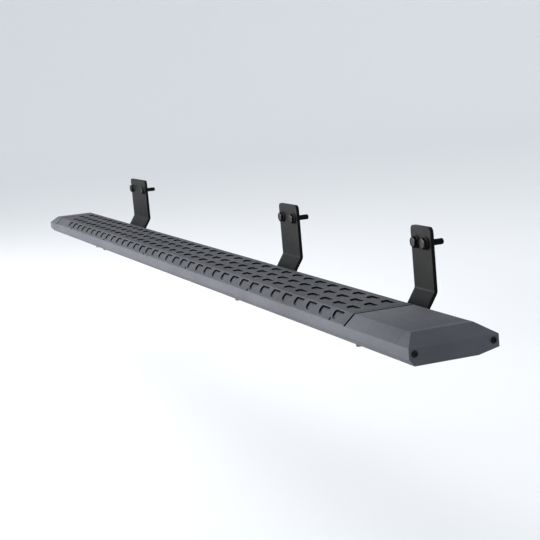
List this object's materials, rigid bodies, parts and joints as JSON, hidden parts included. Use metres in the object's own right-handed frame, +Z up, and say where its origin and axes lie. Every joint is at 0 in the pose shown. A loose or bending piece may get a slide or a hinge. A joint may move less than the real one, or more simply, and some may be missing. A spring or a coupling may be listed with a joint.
{
  "type": "running board",
  "caption": "Side step for a truck cab: an extruded board with a scale-pattern tread cover, bevelled end caps and brackets that slide in T-slots.",
  "frame": {"origin": "centre of the whole part's bounding box", "axes": "+X along the board towards its near end in the picture, -Y towards the outer side where a person steps, +Y towards the vehicle, +Z up"},
  "size_m": [2.3176, 0.1996, 0.1736],
  "materials": {
    "powder_coat": "satin",
    "tread_coat": "satin",
    "bracket_coat": "satin",
    "black_steel": "satin",
    "zinc_steel": "satin"
  },
  "bodies": {
    "middle_bracket": {"bracket_middle": "bracket_coat", "t_bolt_middle_front_1": "zinc_steel", "washer_middle_front_1": "zinc_steel", "nut_middle_front_1": "zinc_steel", "t_bolt_middle_rear_1": "zinc_steel", "washer_middle_rear_1": "zinc_steel", "nut_middle_rear_1": "zinc_steel", "vehicle_bolt_middle_1": "black_steel", "vehicle_bolt_middle_2": "black_steel"},
    "board": {"board_extrusion": "powder_coat", "tread_cover": "tread_coat", "end_panel_near": "powder_coat", "end_cap_near": "powder_coat", "cap_screw_near_front": "black_steel", "cap_screw_near_rear": "black_steel", "end_panel_far": "powder_coat", "end_cap_far": "powder_coat", "cap_screw_far_front": "black_steel", "cap_screw_far_rear": "black_steel", "cover_rivet_front_1": "black_steel", "cover_rivet_front_2": "black_steel", "cover_rivet_front_3": "black_steel", "cover_rivet_front_4": "black_steel", "cover_rivet_front_5": "black_steel", "cover_rivet_front_6": "black_steel", "cover_rivet_rear_1": "black_steel", "cover_rivet_rear_2": "black_steel", "cover_rivet_rear_3": "black_steel", "cover_rivet_rear_4": "black_steel", "cover_rivet_rear_5": "black_steel", "cover_rivet_rear_6": "black_steel"},
    "near_bracket": {"bracket_near": "bracket_coat", "t_bolt_near_front_1": "zinc_steel", "washer_near_front_1": "zinc_steel", "nut_near_front_1": "zinc_steel", "t_bolt_near_rear_1": "zinc_steel", "washer_near_rear_1": "zinc_steel", "nut_near_rear_1": "zinc_steel", "vehicle_bolt_near_1": "black_steel", "vehicle_bolt_near_2": "black_steel"},
    "far_bracket": {"bracket_far": "bracket_coat", "t_bolt_far_front_1": "zinc_steel", "washer_far_front_1": "zinc_steel", "nut_far_front_1": "zinc_steel", "t_bolt_far_front_2": "zinc_steel", "washer_far_front_2": "zinc_steel", "nut_far_front_2": "zinc_steel", "t_bolt_far_rear_1": "zinc_steel", "washer_far_rear_1": "zinc_steel", "nut_far_rear_1": "zinc_steel", "t_bolt_far_rear_2": "zinc_steel", "washer_far_rear_2": "zinc_steel", "nut_far_rear_2": "zinc_steel", "vehicle_bolt_far_1": "black_steel", "vehicle_bolt_far_2": "black_steel"}
  },
  "joints": [
    {"name": "board_slide", "type": "slide", "parent": "middle_bracket", "child": "board", "axis": [1, 0, 0], "range_m": [-0.15, 0.15]},
    {"name": "near_bracket_slide", "type": "slide", "parent": "board", "child": "near_bracket", "axis": [1, 0, 0], "range_m": [-0.15, 0.15]},
    {"name": "far_bracket_slide", "type": "slide", "parent": "board", "child": "far_bracket", "axis": [1, 0, 0], "range_m": [-0.2, 0.2]}
  ]
}
